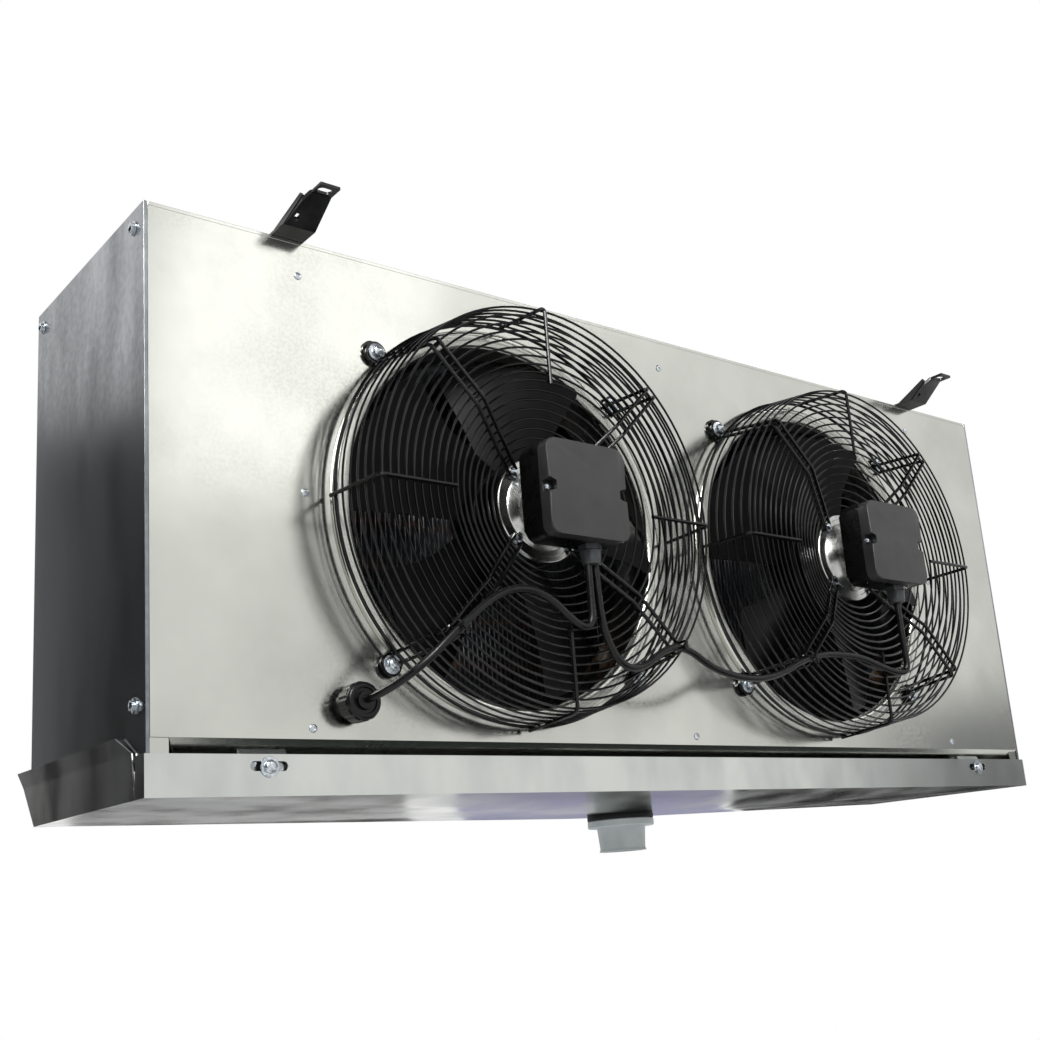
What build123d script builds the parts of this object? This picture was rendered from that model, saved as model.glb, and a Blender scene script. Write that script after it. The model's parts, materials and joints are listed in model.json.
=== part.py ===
from build123d import *

import math
import os

# Walk-in unit cooler: a low ceiling-hung evaporator with two guarded axial fans over a hinged drain pan.
# The shapes are drawn in casing coordinates: X from the left edge, Y from the front panel to the rear,
# Z up from the bend at the foot of the front panel. save() moves them so that the origin is the centre
# of the four ceiling slots, level with the top of the hangers.

# ---- driving dimensions, mm -------------------------------------------------------------------------
casing_length = 1200
casing_depth = 265
casing_height = 458
sheet = 1.2
corner_lip = 3.6  # how far the side panels and the top cover wrap onto the front

fan_x = {"left": 371, "right": 829}
fan_z = 214
throat_radius = 178
collar_radius = 199
guard_radius = 194
guard_depth = 76
guard_bolt_offset = 148
motor_flange_front = 50

hanger_x = {"left": 137, "right": 1061}
hanger_slot_shift = 9
hanger_slot_reach = 54
hanger_top = 485

pan_rim = -47
pan_overhang = 2.4
pan_rear_bottom = 248
pan_rear_top = 290
pan_hinge_y = 272
pan_hinge_z = -2
drain_x = 600
drain_y = 130
drain_floor = -60

cable_radius = 3.6
cable_hole = 4.25

# ---- derived values ---------------------------------------------------------------------------------
origin_x = (hanger_x["left"] + hanger_x["right"]) / 2 + hanger_slot_shift
origin_y = casing_depth / 2
to_part_frame = Location((-origin_x, -origin_y, -hanger_top))
middle_x = casing_length / 2
end_plate_x = {"left": 143, "right": casing_length - 143}
coil_front, coil_back = 140, 255
coil_bottom, coil_top = 20, 438


def save(name, *shapes):
    solids = [solid for shape in shapes for solid in shape.solids()]
    moved = [to_part_frame * solid for solid in solids]
    export_step(moved[0] if len(moved) == 1 else Compound(moved), f"parts/{name}.step")


def fuse(shapes):
    first, *rest = shapes
    return first.fuse(*rest) if rest else first


def block(x, y, z):
    """Box between two values on each axis."""
    return Pos((x[0] + x[1]) / 2, (y[0] + y[1]) / 2, (z[0] + z[1]) / 2) * Box(x[1] - x[0], y[1] - y[0], z[1] - z[0])


def rod(start, direction, radius, length):
    """Round bar from a start point along a direction."""
    return extrude(Plane(origin=start, z_dir=direction) * Circle(radius), length)


def prism(plane, points, depth):
    """Polygon drawn on a plane and pushed along the plane's normal."""
    return extrude(plane * Polygon(*points, align=None), depth, dir=plane.z_dir)


def bent_sheet(profile, thickness, x):
    """Sheet whose (y, z) centre line is bent as given, running along X."""
    line = Polyline(*[(y, z) for y, z in profile])
    section = trace(line, thickness)
    return extrude(Plane(origin=(x[0], 0, 0), x_dir=(0, 1, 0), z_dir=(1, 0, 0)) * section, x[1] - x[0])


def mirrored_x(shape):
    """The same shape on the other side of the casing's middle plane."""
    return shape.mirror(Plane(origin=(middle_x, 0, 0), z_dir=(1, 0, 0)))


def on_fan(side):
    """Fan coordinates: x right, y up, z out of the panel into the room, from the middle of the fan."""
    return Plane(origin=(fan_x[side], 0, fan_z), x_dir=(1, 0, 0), z_dir=(0, -1, 0)).location


def disc(radius, height, sides=24, z=0):
    """Round body on a plane z, drawn as a many-sided prism to keep its mesh light."""
    return Pos(0, 0, z) * extrude(RegularPolygon(radius, sides), height)


def frustum(low, high):
    """Solid between two similar outlines, given corner by corner, with flat sides."""
    following = low[1:] + low[:1], high[1:] + high[:1]
    sides = [Face(Wire.make_polygon([a, b, d, c])) for a, b, c, d in zip(low, following[0], high, following[1])]
    return Solid(Shell([*sides, Face(Wire.make_polygon(low)), Face(Wire.make_polygon(high))]))


def circle_points(radius, z, sides):
    turns = [2 * math.pi * i / sides for i in range(sides)]
    return [(radius * math.cos(turn), radius * math.sin(turn), z) for turn in turns]


def cone(low_radius, high_radius, height, sides=16, z=0):
    """Tapered round body, many-sided like disc()."""
    return frustum(circle_points(low_radius, z, sides), circle_points(high_radius, z + height, sides))


def ring(radius, z, wire=2.2, sides=18):
    """Guard ring of square wire around the fan axis."""
    return Pos(0, 0, z - wire / 2) * (disc(radius + wire / 2, wire, sides) - disc(radius - wire / 2, wire, sides))


def wire_run(points, radius, sides=4):
    """Straight runs of wire or tube joined by mitred corners."""
    path = Polyline(*points)
    start = Plane(origin=points[0], z_dir=Vector(*points[1]) - Vector(*points[0]))
    return sweep(start * RegularPolygon(radius, sides), path=path, transition=Transition.RIGHT)


# ---- casing -----------------------------------------------------------------------------------------
side_screw_yz = [(20, 27), (20, 440), (249, 440)]
rivet_positions = [(x, z) for x in (146, 600, 1054) for z in (9, 423)] + [(146, 216), (1054, 216)]
pan_screw_x = [103, casing_length - 103]
pan_screw_z = -23.5
lip_start, lip_end = 19.4, 1196.3
gland_x, gland_z = 183, 30


def front_panel():
    left, right = corner_lip + 0.1, casing_length - corner_lip - 0.1
    top = casing_height - corner_lip - 0.1
    plate = block((left, right), (0, sheet), (0, top))
    returns = [block((x, x + sheet), (0, 34), (2, top)) for x in (left, right - sheet)]
    top_return = block((left + 3, right - 3), (0, 22), (top - sheet, top))
    panel = fuse([plate, *returns, top_return])
    # the lip at the foot leans back to throw drips into the pan, with small hanging slots in it
    lip = bent_sheet([(sheet / 2, 0.4), (8, -12.2)], sheet, (lip_start, lip_end))
    wedge = Plane.XZ * Polygon((lip_start - 1, 1), (lip_start - 1, -16), (lip_start + 9, -16), align=None)
    slot = Plane.XZ * Polygon((0, -2.4), (2.4, -2.4), (-1.6, -6.4), (-4, -6.4), align=None)
    lip -= extrude(wedge, 20, both=True)
    for i in range(4):
        lip -= Pos(198 + 5.4 * i, 0, 0) * extrude(slot, 20, both=True)
    panel += lip
    for x in fan_x.values():
        panel -= Plane(origin=(x, -1, fan_z), z_dir=(0, 1, 0)).location * disc(throat_radius + 8, 4, 36)
    return panel - Plane(origin=(gland_x, -1, gland_z), z_dir=(0, 1, 0)).location * disc(10.3, 4, 12)


def top_cover():
    left, right = sheet, casing_length - sheet
    plate = block((left, right), (sheet, casing_depth), (casing_height - sheet, casing_height))
    lip_ends = (corner_lip + 0.1, casing_length - corner_lip - 0.1)
    front = block(lip_ends, (0, sheet), (casing_height - corner_lip, casing_height))
    rear = block((left, right), (casing_depth - sheet, casing_depth), (casing_height - 20, casing_height))
    flanges = [block((x, x + sheet), (40, casing_depth - 6), (426, casing_height)) for x in (left, right - sheet)]
    return fuse([plate, front, rear, *flanges])


def side_panel():
    bottom = -13
    plate = block((0, sheet - 0.1), (0, casing_depth), (bottom, casing_height))
    front = block((0, corner_lip), (0, sheet), (bottom, casing_height))
    rear = block((0, end_plate_x["left"] - 2), (casing_depth - sheet, casing_depth), (4, casing_height - 21))
    foot = block((0, 14), (36, casing_depth), (bottom, bottom + sheet))
    return fuse([plate, front, rear, foot])


def hex_screw(head_across=8, head_height=4.2, flange_radius=6.5):
    """Flanged hexagon head standing on its seat; the thread in the sheet behind it is left out."""
    return disc(flange_radius, 1.4, 8) + disc(head_across / math.sqrt(3), head_height - 1.4, 6, 1.4)


def side_screws():
    seat = [Plane(origin=(0, y, z), z_dir=(-1, 0, 0)).location for y, z in side_screw_yz]
    left = [place * hex_screw() for place in seat]
    return left + [mirrored_x(screw) for screw in left]


def rivets():
    """Low tapered heads of the blind rivets that hold the end plates and the baffle to the panel."""
    head = cone(3.6, 2.2, 1.3, 8)
    return [Plane(origin=(x, 0, z), z_dir=(0, -1, 0)).location * head for x, z in rivet_positions]


def middle_baffle():
    web = block((middle_x - 0.6, middle_x + 0.6), (sheet, coil_front - 1), (2, 440))
    flange = block((middle_x - 0.6, middle_x + 14), (sheet, 2 * sheet), (2, 440))
    foot = block((middle_x - 14, middle_x + 0.6), (sheet, 2 * sheet), (2, 440))
    return web + flange + foot


# ---- coil -------------------------------------------------------------------------------------------
tube_radius = 8
tube_pitch = 50
tube_rows_y = [coil_front + 22, coil_front + 22 + 36, coil_front + 22 + 72]
tube_z = [coil_bottom + 34 + tube_pitch * i for i in range(8)]


def fin_block():
    """The stacked fins, drawn as one block with coarse grooves in its two air faces."""
    width = (end_plate_x["left"] + 1.6, end_plate_x["right"] - 1.6)
    block_of_fins = block(width, (coil_front, coil_back), (coil_bottom, coil_top))
    pitch, groove = 57, 34
    count = int((width[1] - width[0]) // pitch)
    first = width[0] + (width[1] - width[0] - (count - 1) * pitch) / 2
    cuts = []
    for i in range(count):
        x = (first + i * pitch - groove / 2, first + i * pitch + groove / 2)
        cuts.append(block(x, (coil_front - 1, coil_front + 9), (coil_bottom - 1, coil_top + 1)))
        cuts.append(block(x, (coil_back - 9, coil_back + 1), (coil_bottom - 1, coil_top + 1)))
    return block_of_fins.cut(*cuts)


def coil_end_plate():
    x = end_plate_x["left"]
    web = block((x, x + sheet), (sheet, casing_depth - 2), (8, 444))
    front = block((x, x + 14), (sheet, 2 * sheet), (2, 444))
    rear = block((x - 12, x + sheet), (casing_depth - 3.4, casing_depth - 2.2), (8, 436))
    return fuse([web, front, rear])


def return_bend(x, y, z, towards):
    """U bend on the outside of an end plate, joining two tubes one pitch apart."""
    far = x + towards * 32
    top = z + tube_pitch
    return wire_run([(x, y, z), (far, y, z), (far, y, top), (x, y, top)], tube_radius)


def return_bends_left():
    return [return_bend(end_plate_x["left"], y, z, -1) for y in tube_rows_y for z in tube_z[::2]]


def return_bends_right():
    return [return_bend(end_plate_x["right"], y, z, 1) for y in tube_rows_y for z in tube_z[1:-1:2]]


suction_radius = 14
suction_y, suction_z = tube_rows_y[2], 70
liquid_radius = 8
liquid_y, liquid_z = tube_rows_y[0] - 4, 404
stub_reach = 45
stub_start = casing_length + 4


def pipe_stub(x, y, z, radius):
    """Pipe out through the right side panel, with a wider sleeve as far as the grommet."""
    sleeve = Plane(origin=(x, y, z), z_dir=(1, 0, 0)).location * disc(radius + 1.2, stub_start - x, 12)
    return sleeve + rod((stub_start, y, z), (1, 0, 0), radius, casing_length + stub_reach - stub_start)


def suction_header():
    """Upright header behind the right end plate, with a stub through the right side panel."""
    x = end_plate_x["right"] + 66
    header = Pos(x, suction_y, 30) * disc(suction_radius + 1, 395, 12)
    stub = pipe_stub(x, suction_y, suction_z, suction_radius)
    tails = [wire_run([(end_plate_x["right"], suction_y, z), (x, suction_y, z)], 6) for z in (tube_z[0], tube_z[-1])]
    return fuse([header, stub, *tails])


def liquid_line():
    """Distributor cone and liquid stub through the right side panel."""
    x = end_plate_x["right"] + 14
    inlet = pipe_stub(x + 42, liquid_y, liquid_z, liquid_radius)
    distributor = Plane(origin=(x, liquid_y, liquid_z), z_dir=(1, 0, 0)).location * cone(16, 9, 42, 12)
    tail = wire_run([(end_plate_x["right"], tube_rows_y[0], tube_z[-1]), (x + 4, tube_rows_y[0], tube_z[-1])], 6)
    return fuse([inlet, distributor, tail])


def pipe_grommets():
    places = [(suction_y, suction_z, suction_radius), (liquid_y, liquid_z, liquid_radius)]
    rings = []
    for y, z, radius in places:
        place = Plane(origin=(casing_length - 2, y, z), z_dir=(1, 0, 0)).location
        rings.append(place * (disc(radius + 5, 5, 12) - disc(radius + 1.3, 5, 12)))
    return rings


# ---- ceiling hangers --------------------------------------------------------------------------------
strap = 3
hanger_screw_y = (14, 34)


def hanger():
    """Front hanger around x = 0: base strap on the cover, ramp forwards and up, slotted flange on top."""
    low = casing_height + strap / 2
    high = hanger_top - strap / 2
    profile = [(45, low), (-22, low), (-46, high), (-63, high)]
    blank = bent_sheet(profile, strap, (-16, 22))
    outline = [(-16, 46), (16, 46), (16, -22), (20, -46), (20, -64), (0, -64), (0, -47), (-6, -40), (-16, -22)]
    body = blank & prism(Plane.XY.offset(440), outline, 60)
    gusset = [(0, casing_height + 1), (-22, casing_height + 1), (-40, high - 2), (-38, high + 1)]
    body += prism(Plane(origin=(-16, 0, 0), x_dir=(0, 1, 0), z_dir=(1, 0, 0)), gusset, 2.4)
    slot = Pos(hanger_slot_shift, -hanger_slot_reach, 470) * extrude(SlotOverall(14, 9), 30)
    body -= slot
    body -= Pos(-6, -29, 0) * disc(2.6, 40, 6, 440)
    return body


def front_hanger(side):
    return Pos(hanger_x[side], 0, 0) * hanger()


def rear_hanger(side):
    return front_hanger(side).mirror(Plane(origin=(0, casing_depth / 2, 0), z_dir=(0, 1, 0)))


def hanger_screws():
    screw = hex_screw(10, 5, 7)
    screws = []
    for x in hanger_x.values():
        for y in hanger_screw_y:
            for place in (y, casing_depth - y):
                screws.append(Pos(x, place, casing_height + strap) * screw)
    return screws


# ---- drain pan --------------------------------------------------------------------------------------
pan_left = -pan_overhang
pan_right = casing_length + pan_overhang
pan_front = -3
gasket_radius = 36.5
spout_radius = 26.5
spout_bottom = -99.5
spout_bore = 22


def rectangle_points(x, y, z):
    return [(x[0], y[0], z), (x[1], y[0], z), (x[1], y[1], z), (x[0], y[1], z)]


def pan_floor():
    """Shallow pyramid falling from the rim to a flat seat round the drain, one sheet thick."""
    seat = (drain_x - 40, drain_x + 40), (drain_y - 40, drain_y + 40)
    rim = (pan_left, pan_right), (pan_front, pan_rear_bottom)
    inner = (pan_left + sheet, pan_right - sheet), (pan_front + sheet, pan_rear_bottom - sheet)
    outside = frustum(rectangle_points(*seat, drain_floor), rectangle_points(*rim, pan_rim))
    inside = frustum(rectangle_points(*seat, drain_floor + sheet), rectangle_points(*inner, pan_rim))
    return outside - inside


def pan_end_wall():
    """Left end wall: bent slightly outwards above a fold and trimmed to its side outline."""
    inner = pan_left + sheet
    section = [
        (pan_left, pan_rim), (inner, pan_rim), (inner, -10), (inner - 2, 5), (inner - 2 - sheet, 5), (pan_left, -10),
    ]
    wall = prism(Plane.XZ.offset(-300), section, 300)
    outline = [(16, pan_rim), (22, -10), (51, 5), (pan_rear_top, 5), (pan_rear_bottom, pan_rim)]
    return wall & prism(Plane(origin=(-10, 0, 0), x_dir=(0, 1, 0), z_dir=(1, 0, 0)), outline, 20)


def drain_pan():
    strip = block((pan_left, pan_right), (pan_front, pan_front + sheet), (pan_rim, -13))
    tab = block((pan_left, pan_left + sheet), (pan_front, 15.2), (pan_rim, -13))
    end = pan_end_wall()
    rear_line = [(pan_rear_bottom - sheet / 2, pan_rim), (pan_rear_top - sheet / 2, 5)]
    rear = bent_sheet(rear_line, sheet, (pan_left, pan_right))
    ear = [(265, -9), (277.6, -9), (288, 4), (265, 4)]
    ears = [prism(Plane(origin=(x, 0, 0), x_dir=(0, 1, 0), z_dir=(1, 0, 0)), ear, 3) for x in hinge_ear_x]
    pan = fuse([strip, tab, mirrored_x(tab), end, mirrored_x(end), rear, pan_floor(), *ears])
    for x in pan_screw_x:
        slot = Plane(origin=(x, -10, pan_screw_z + 0.7), x_dir=(1, 0, 0), z_dir=(0, -1, 0)) * SlotOverall(34, 8)
        pan -= extrude(slot, 20, both=True)
    pan -= Pos(drain_x, drain_y, drain_floor) * disc(spout_radius - 1.2, 20, z=-10)
    for x in hinge_ear_x:
        pan -= rod((x - 2, pan_hinge_y, pan_hinge_z), (1, 0, 0), 3.05, 8)
    return pan


def pan_screws():
    """Pan head screws that stay in the pan, each with a wide washer in front and a nut behind the strip."""
    pieces = []
    for x in pan_screw_x:
        place = Plane(origin=(x, pan_front, pan_screw_z), z_dir=(0, -1, 0)).location
        washer = disc(8.5, 1.6, 12)
        head = cone(5.6, 3.6, 3.4, 12, 1.6)
        shank = disc(3, 15, 8, -15)
        nut = disc(5.8, 4, 6, -14)
        pieces.append(place * fuse([washer, head, shank, nut]))
    return pieces


def pan_catches():
    """Angles behind the panel foot whose open notches take the pan screws."""
    angles = []
    for x in pan_screw_x:
        face = block((x - 22, x + 22), (1.4, 3.2), (-34, -14.6))
        shelf = block((x - 22, x + 22), (1.4, 34), (-14.6, -12.8))
        notch = block((x - 4, x + 4), (0, 5), (-35, pan_screw_z))
        angle = face + shelf - notch - rod((x, 0, pan_screw_z), (0, 1, 0), 4, 5)
        angles.append(angle)
    return angles


pin_bore = 3.2
hinge_ear_x = [58, 78, casing_length - 61, casing_length - 81]


def pan_hinge_brackets():
    """Angles on the rear of the side panels, each with an eye round a hinge pin."""
    brackets = []
    for x in (69.5, casing_length - 69.5):
        plate = block((x - 12, x + 12), (casing_depth, casing_depth + 2), (8, 44))
        arm = block((x - 3, x + 3), (casing_depth, pan_hinge_y - 2), (pan_hinge_z - 3, 14))
        place = Plane(origin=(x - 3, pan_hinge_y, pan_hinge_z), z_dir=(1, 0, 0)).location
        brackets.append(fuse([plate, arm, place * disc(5.8, 6, 12)]) - place * disc(pin_bore, 6, 12))
    return brackets


def pan_hinge_pins():
    return [rod((x - 14, pan_hinge_y, pan_hinge_z), (1, 0, 0), 3, 28) for x in (69.5, casing_length - 69.5)]


def drain_gasket():
    return Pos(drain_x, drain_y, drain_floor - 5.5) * (disc(gasket_radius, 5.5) - disc(spout_radius, 5.5))


def drain_spout():
    """Moulded spout: flange under the gasket, thread up through the pan, plain pipe end below."""
    flange = disc(gasket_radius, 7, z=drain_floor - 12.5)
    thread = disc(spout_radius - 1.5, 15, 24, drain_floor - 5.5)
    pipe = rod((0, 0, drain_floor - 12.5), (0, 0, -1), spout_radius - 1.5, drain_floor - 12.5 - spout_bottom)
    return Pos(drain_x, drain_y, 0) * (fuse([flange, thread, pipe]) - disc(spout_bore, 90, z=spout_bottom - 10))


def drain_nut():
    nut = disc(33, 7, 8) - disc(spout_radius - 1.2, 7)
    return Pos(drain_x, drain_y, drain_floor + sheet + 0.1) * nut


# ---- fans: shapes in fan coordinates ----------------------------------------------------------------
def bell_mouth():
    """Rolled collar standing proud of the panel and turning into the round throat."""
    sides = 36
    body = cone(collar_radius, 195, 6, sides) + disc(throat_radius + 1.4, 42, sides, -42)
    return body - cone(throat_radius, 188, 6, sides) - disc(throat_radius, 42, sides, -42)


brace_wire = 1.9
brace_front = guard_depth + 2.9
foot_radius = guard_bolt_offset * math.sqrt(2)


def guard_side_rings():
    """Rings round the side of the guard, the widest just in front of the collar."""
    return [ring(201 - 1.8 * i, 11 + 21.5 * i) for i in range(3)]


def guard_front_rings():
    """Flat front rings and the cone of rings that dips back to the motor."""
    flat = [ring(guard_radius - 14.6 * i, guard_depth) for i in range(6)]
    return flat + [ring(102 - 20 * i, guard_depth - 8 - 8.5 * i) for i in range(3)]


def guard_braces():
    """Four single wires on the axes and four looped double wires that end in the bolted feet."""
    wires = []
    for quarter in range(4):
        turn = Rot(0, 0, 90 * quarter)
        single = [(203.6, 0, 8), (guard_radius + 2.6, 0, brace_front), (118, 0, brace_front)]
        wires.append(turn * wire_run(single, brace_wire))
        for side in (-5.5, 5.5):
            double = [
                (47, side, motor_flange_front + 2.2), (121, side, brace_front), (190, side, brace_front),
                (foot_radius - 8.3, side, 3.6), (foot_radius + 8, side, 3.6),
            ]
            wires.append(turn * Rot(0, 0, 45) * wire_run(double, brace_wire))
        foot = Pos(foot_radius + 2, 0, 0.7) * Box(20, 20, 1.2)
        wires.append(turn * Rot(0, 0, 45) * foot)
    return wires


def guard_bolts():
    """Hexagon bolts and washers that hold the guard feet to the panel."""
    bolt = Pos(0, 0, 5.6) * (disc(8, 1.6, 12) + disc(6, 5, 6, 1.6))
    return [Pos(sx * guard_bolt_offset, sy * guard_bolt_offset, 0) * bolt for sx in (-1, 1) for sy in (-1, 1)]


stator_radius = 51
neck_radius = 30
motor_screw_offset = 32
box_back, lid_back, lid_front = 80, 107, 120
shaft_radius = 7.5


def motor_stator():
    """Flange that carries the guard and the box, with the fixed core reaching into the rotor."""
    flange = disc(stator_radius, 5, z=motor_flange_front - 5)
    neck = cone(38, neck_radius, box_back - motor_flange_front, z=motor_flange_front)
    core = disc(34, motor_flange_front + 10, 16, -15)
    return fuse([flange, neck, core]) - disc(shaft_radius + 0.3, 60, 12, -20)


def motor_screws():
    screw = hex_screw(8, 4.4, 5.6)
    spots = [(sx * motor_screw_offset, sy * motor_screw_offset) for sx in (-1, 1) for sy in (-1, 1)]
    return [Pos(x, y, motor_flange_front) * screw for x, y in spots]


def motor_shaft():
    return rod((0, 0, -29), (0, 0, 1), shaft_radius, 60)


def rotor_shell():
    """Spinning drum of the external rotor motor, closed and tapered at the rear."""
    drum = disc(49.5, 70, z=-28) + cone(43, 49.5, 6, 24, -34)
    return drum - disc(44, 80, z=-29)


blade_count = 5
blade_pitch = math.radians(-24)
blade_tip_radius = 174.5


def blade():
    """Pressed sheet blade: a plate folded to a shallow arch, set at an angle and trimmed to a swept outline."""
    chord, camber, thickness = 170, 15, 2.2
    arch = [(-chord / 2, 0), (-chord / 5, camber * 0.84), (chord / 5, camber * 0.84), (chord / 2, 0)]
    section = arch + [(y, z + thickness) for y, z in reversed(arch)]
    along = (0, math.cos(blade_pitch), math.sin(blade_pitch))
    plate = prism(Plane(origin=(44, 0, -10), x_dir=along, z_dir=(1, 0, 0)), section, 140)
    outline = [(44, -24), (110, -22), (180, -44), (186, 30), (146, 98), (92, 60), (44, 30)]
    swept = plate & prism(Plane.XY.offset(-80), outline, 160)
    return (swept & disc(blade_tip_radius, 200, 60, -100)) - disc(51, 200, z=-100)


def impeller():
    """Blade ring: five swept blades on a band that sits tight on the rotor drum."""
    band = disc(53, 40, z=-26) - disc(49.6, 40, z=-26)
    return fuse([band, *[Rot(0, 0, 360 / blade_count * i) * blade() for i in range(blade_count)]])


box_width, box_height = 94, 90
lid_screw_x = 41


gland_offset = 16.5
gland_depth = 96


def junction_box():
    """Moulded box body on the motor neck, open in front, with a round cable entry below."""
    outer = Pos(0, 0, box_back) * extrude(RectangleRounded(box_width, box_height, 10), lid_back - box_back)
    inner = Pos(0, 0, box_back + 3) * extrude(Rectangle(box_width - 20, box_height - 8), lid_back - box_back)
    entry = Plane(origin=(gland_offset, -30, gland_depth), z_dir=(0, -1, 0)).location * disc(8.2, 30, 12)
    return outer - inner - entry


def junction_lid():
    """Lid with a soft front edge and a stepped notch over each screw."""
    lid = Pos(0, 0, lid_back) * extrude(RectangleRounded(box_width, box_height, 10), lid_front - lid_back)
    lid = chamfer(lid.edges().group_by(Axis.Z)[-1], 2.4)
    for side in (-1, 1):
        lid -= Pos(side * (lid_screw_x + 2), 0, lid_back + 3 + 10) * Box(13, 11, 20)
    return lid


def lid_screws():
    return [Pos(side * lid_screw_x, 0, lid_back + 3) * disc(3.8, 2.8, 8) for side in (-1, 1)]


def box_gland(cable_x):
    """Gland in the underside of a box, with a hole for each cable."""
    place = Plane(origin=(gland_offset, -38, gland_depth), z_dir=(0, -1, 0)).location
    gland = place * fuse([disc(8, 7, 12), disc(12, 8, 6, 7), cone(10.6, 9.8, 11, 12, 15)])
    for x in cable_x:
        gland -= Plane(origin=(x, -30, gland_depth), z_dir=(0, -1, 0)).location * disc(cable_hole, 50, 8)
    return gland


# ---- cables -----------------------------------------------------------------------------------------
supply_route = [
    (183, -6, 30), (183, -44, 30), (207, -78, 51), (246, -85.3, 89), (291, -86, 123), (332, -90, 124),
    (367, -95, 91), (382.6, -96, 93), (383.2, -96, 118), (383.2, -96, 162),
]
link_route = [
    (391.8, -96, 162), (391.8, -96, 119), (398, -94, 86), (417, -91, 59), (447, -88, 57), (482, -85.4, 80),
    (512, -85.2, 82.5), (546, -85, 62), (596, -85, 54), (640, -85, 60), (676, -85.2, 76), (712, -85.3, 86.5),
    (745, -86, 88), (778, -88, 86), (806, -90, 77), (834, -93, 70), (848, -96, 73), (847, -96, 96),
    (845.5, -96, 118), (845.5, -96, 162),
]


def bend_radii(route):
    """Largest smooth radius at each corner: 0.45 of the shorter run over the tangent of half the turn."""
    radii = []
    for before, corner, after in zip(route, route[1:], route[2:]):
        arriving = Vector(*corner) - Vector(*before)
        leaving = Vector(*after) - Vector(*corner)
        half_turn = math.radians(arriving.get_angle(leaving)) / 2
        radii.append(0.45 * min(arriving.length, leaving.length) / math.tan(half_turn))
    return radii


def cable(route, name):
    radii = bend_radii(route)
    path = FilletPolyline(*route, radius=radii)
    start = Plane(origin=route[0], z_dir=Vector(*route[1]) - Vector(*route[0]))
    # a five-sided section of the same area as the round cable
    section = start * RegularPolygon(cable_radius * math.sqrt(math.pi / (2.5 * math.sin(math.radians(72)))), 5)
    solid = sweep(section, path=path)
    print(name, "length", round(path.length, 1), "radii", [round(radius, 1) for radius in radii])
    print(name, "volume over section x length", round(solid.volume / (section.area * path.length), 4))
    return solid


def panel_gland():
    """Gland through the front panel: hexagon collar and tapered dome nut outside, thread through the sheet."""
    place = Plane(origin=(gland_x, 0, gland_z), z_dir=(0, -1, 0)).location
    body = fuse([disc(18.5, 8, 6), cone(17, 14.5, 18, 16, 8), disc(10, 14, 12, -14)])
    return place * (body - disc(cable_hole, 60, 8, -20))


tie_width = 2.6


def cable_tie(side, angle, radius):
    """Flat strap loop across the double wires of a front brace and the cable that lies on them."""
    low, high = brace_front - brace_wire - 0.3, 89.9
    hole = block((radius - tie_width, radius + tie_width), (-8.6, 8.6), (low, high))
    around = block((radius - tie_width / 2, radius + tie_width / 2), (-9.6, 9.6), (low - 1, high + 1))
    return on_fan(side) * Rot(0, 0, angle) * (around - hole)


def main():
    os.makedirs("parts", exist_ok=True)
    save("front_panel", front_panel())
    save("top_cover", top_cover())
    save("side_panel_left", side_panel())
    right_panel = mirrored_x(side_panel())
    for y, z, radius in ((suction_y, suction_z, suction_radius), (liquid_y, liquid_z, liquid_radius)):
        right_panel -= Plane(origin=(1190, y, z), z_dir=(1, 0, 0)).location * disc(radius + 5.05, 20, 12)
    save("side_panel_right", right_panel)
    save("side_panel_screws", *side_screws())
    save("panel_rivets", *rivets())
    save("middle_baffle", middle_baffle())
    save("fin_block", fin_block())
    save("coil_end_plate_left", coil_end_plate())
    save("coil_end_plate_right", mirrored_x(coil_end_plate()))
    save("return_bends_left", *return_bends_left())
    save("return_bends_right", *return_bends_right())
    save("suction_header", suction_header())
    save("liquid_line", liquid_line())
    save("pipe_grommets", *pipe_grommets())
    for side in ("left", "right"):
        save(f"hanger_front_{side}", front_hanger(side))
        save(f"hanger_rear_{side}", rear_hanger(side))
    save("hanger_screws", *hanger_screws())
    save("drain_pan", drain_pan())
    save("pan_screws", *pan_screws())
    save("pan_catches", *pan_catches())
    save("pan_hinge_brackets", *pan_hinge_brackets())
    save("pan_hinge_pins", *pan_hinge_pins())
    save("drain_gasket", drain_gasket())
    save("drain_spout", drain_spout())
    save("drain_nut", drain_nut())
    for side in ("left", "right"):
        place = on_fan(side)
        cable_x = [12.2, 20.8] if side == "left" else [16.5]
        save(f"bell_mouth_{side}", place * bell_mouth())
        save(f"guard_side_rings_{side}", *[place * piece for piece in guard_side_rings()])
        save(f"guard_front_rings_{side}", *[place * piece for piece in guard_front_rings()])
        save(f"guard_braces_{side}", *[place * piece for piece in guard_braces()])
        save(f"guard_bolts_{side}", *[place * piece for piece in guard_bolts()])
        save(f"motor_stator_{side}", place * motor_stator())
        save(f"motor_screws_{side}", *[place * piece for piece in motor_screws()])
        save(f"motor_rotor_{side}", place * rotor_shell())
        save(f"motor_shaft_{side}", place * motor_shaft())
        save(f"impeller_{side}", place * impeller())
        save(f"junction_box_{side}", place * junction_box())
        save(f"junction_lid_{side}", place * junction_lid())
        save(f"lid_screws_{side}", *[place * piece for piece in lid_screws()])
        save(f"box_gland_{side}", place * box_gland(cable_x))
    save("panel_gland", panel_gland())
    save("cable_ties", cable_tie("left", 225, 182), cable_tie("left", 315, 186.6), cable_tie("right", 225, 186.6))
    save("supply_cable", cable(supply_route, "supply cable"))
    save("link_cable", cable(link_route, "link cable"))


main()
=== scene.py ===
"""Walk-in unit cooler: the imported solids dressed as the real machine."""
import json
import math

import bmesh
import bpy
from mathutils import Matrix, Vector


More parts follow.
